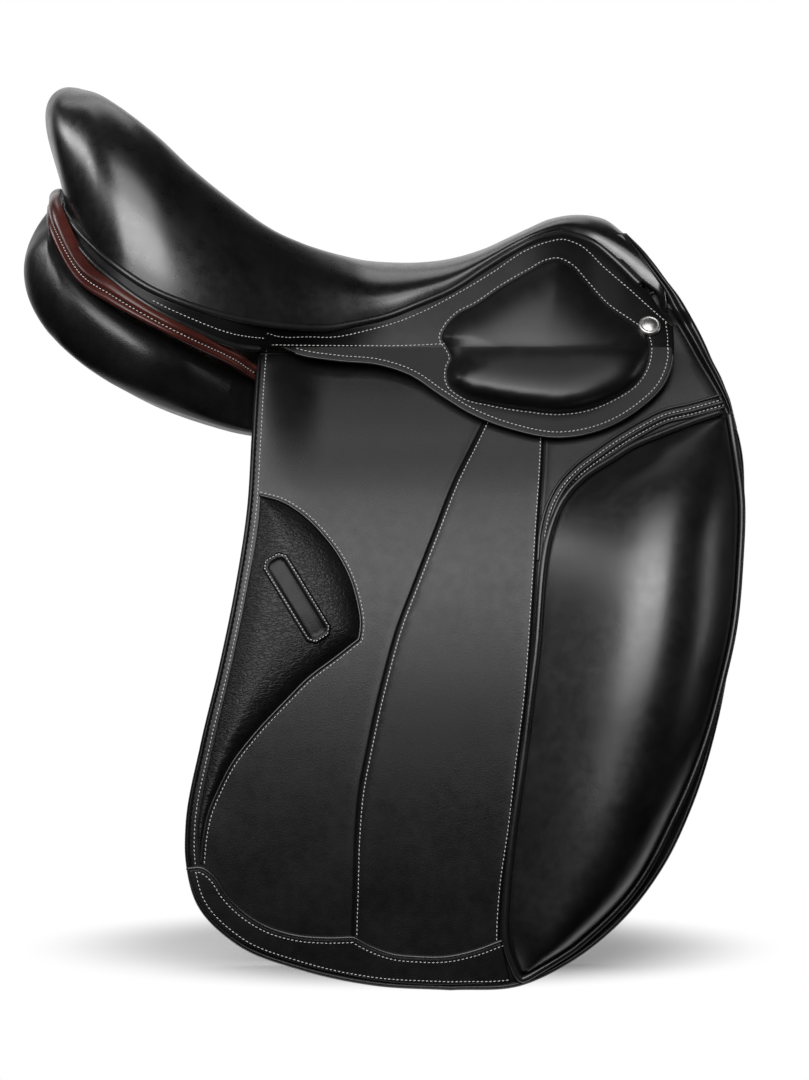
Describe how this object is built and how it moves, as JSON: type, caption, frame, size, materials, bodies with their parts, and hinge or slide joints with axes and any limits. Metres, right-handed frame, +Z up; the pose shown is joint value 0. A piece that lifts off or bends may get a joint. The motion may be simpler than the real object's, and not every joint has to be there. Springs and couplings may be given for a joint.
{
  "type": "dressage saddle",
  "caption": "Black leather dressage saddle with deep seat, long straight flaps with large outer knee blocks, padded skirts, wool panels and hidden girth straps and stirrup bars.",
  "frame": {"origin": "middle of the saddle between the panels at the height where they rest on the back", "axes": "+X forward towards the pommel, +Y to the left, +Z up"},
  "size_m": [0.5048, 0.4256, 0.6345],
  "materials": {
    "black_leather": "smooth satin black",
    "brown_leather": "chestnut satin",
    "steel": "forged and brushed",
    "nail_metal": "polished",
    "laminate": "laminated beech",
    "padding": "soft foam",
    "webbing": "woven"
  },
  "bodies": {
    "saddle_body": {"tree": "laminate", "tree_head": "laminate", "head_plate": "steel", "seat_webs": "webbing", "seat_foam": "padding", "seat_cover": "black_leather", "seat_welt": "black_leather", "gullet_lining": "black_leather", "cantle_strip": "brown_leather", "stirrup_bar_left": "steel", "catch_pin_left": "steel", "bar_rivets_left": "steel", "girth_webs_left": "webbing", "panel_left": "black_leather", "skirt_upper_left": "black_leather", "pad_upper_left": "black_leather", "saddle_nail_left": "nail_metal", "flap_head_left": "black_leather", "front_facing_left": "black_leather", "sweat_flap_left": "black_leather", "stirrup_bar_right": "steel", "catch_pin_right": "steel", "bar_rivets_right": "steel", "girth_webs_right": "webbing", "panel_right": "black_leather", "skirt_upper_right": "black_leather", "pad_upper_right": "black_leather", "saddle_nail_right": "nail_metal", "flap_head_right": "black_leather", "front_facing_right": "black_leather", "sweat_flap_right": "black_leather"},
    "flap_left_body": {"flap_left": "black_leather", "knee_block_left": "black_leather", "block_piping_left": "black_leather", "thigh_pad_left": "black_leather", "keeper_patch_left": "black_leather", "lower_guard_left": "black_leather"},
    "skirt_left_body": {"skirt_lower_left": "black_leather", "pad_lower_left": "black_leather"},
    "catch_left_body": {"thumb_catch_left": "steel"},
    "billet_front_left_body": {"billet_front_left": "black_leather"},
    "billet_rear_left_body": {"billet_rear_left": "black_leather"},
    "flap_right_body": {"flap_right": "black_leather", "knee_block_right": "black_leather", "block_piping_right": "black_leather", "thigh_pad_right": "black_leather", "keeper_patch_right": "black_leather", "lower_guard_right": "black_leather"},
    "skirt_right_body": {"skirt_lower_right": "black_leather", "pad_lower_right": "black_leather"},
    "catch_right_body": {"thumb_catch_right": "steel"},
    "billet_front_right_body": {"billet_front_right": "black_leather"},
    "billet_rear_right_body": {"billet_rear_right": "black_leather"}
  },
  "joints": [
    {"name": "flap_lift_left", "type": "hinge", "parent": "saddle_body", "child": "flap_left_body", "pos_m": [0, 0.106, 0.065], "axis": [1, 0, 0], "range_deg": [0, 60]},
    {"name": "skirt_lift_left", "type": "hinge", "parent": "flap_left_body", "child": "skirt_left_body", "pos_m": [0, 0.106, 0.065], "axis": [1, 0, 0], "range_deg": [0, 50]},
    {"name": "catch_turn_left", "type": "hinge", "parent": "saddle_body", "child": "catch_left_body", "pos_m": [0.09, 0.0793, 0.07], "axis": [0, 1, 0], "range_deg": [0, 75]},
    {"name": "billet_front_swing_left", "type": "hinge", "parent": "saddle_body", "child": "billet_front_left_body", "pos_m": [0.038, 0.0975, 0.026], "axis": [0, 0.8821, 0.4711], "range_deg": [-6, 6]},
    {"name": "billet_rear_swing_left", "type": "hinge", "parent": "saddle_body", "child": "billet_rear_left_body", "pos_m": [-0.014, 0.0975, 0.026], "axis": [0, 0.8821, 0.4711], "range_deg": [-6, 6]},
    {"name": "flap_lift_right", "type": "hinge", "parent": "saddle_body", "child": "flap_right_body", "pos_m": [0, -0.106, 0.065], "axis": [-1, 0, 0], "range_deg": [0, 60]},
    {"name": "skirt_lift_right", "type": "hinge", "parent": "flap_right_body", "child": "skirt_right_body", "pos_m": [0, -0.106, 0.065], "axis": [-1, 0, 0], "range_deg": [0, 50]},
    {"name": "catch_turn_right", "type": "hinge", "parent": "saddle_body", "child": "catch_right_body", "pos_m": [0.09, -0.0793, 0.07], "axis": [0, 1, 0], "range_deg": [0, 75]},
    {"name": "billet_front_swing_right", "type": "hinge", "parent": "saddle_body", "child": "billet_front_right_body", "pos_m": [0.038, -0.0975, 0.026], "axis": [0, 0.8821, -0.4711], "range_deg": [-6, 6]},
    {"name": "billet_rear_swing_right", "type": "hinge", "parent": "saddle_body", "child": "billet_rear_right_body", "pos_m": [-0.014, -0.0975, 0.026], "axis": [0, 0.8821, -0.4711], "range_deg": [-6, 6]}
  ],
  "couplings": [
    {"joint": "billet_rear_swing_left", "follows": "billet_front_swing_left", "ratio": 1},
    {"joint": "billet_rear_swing_right", "follows": "billet_front_swing_right", "ratio": 1}
  ]
}
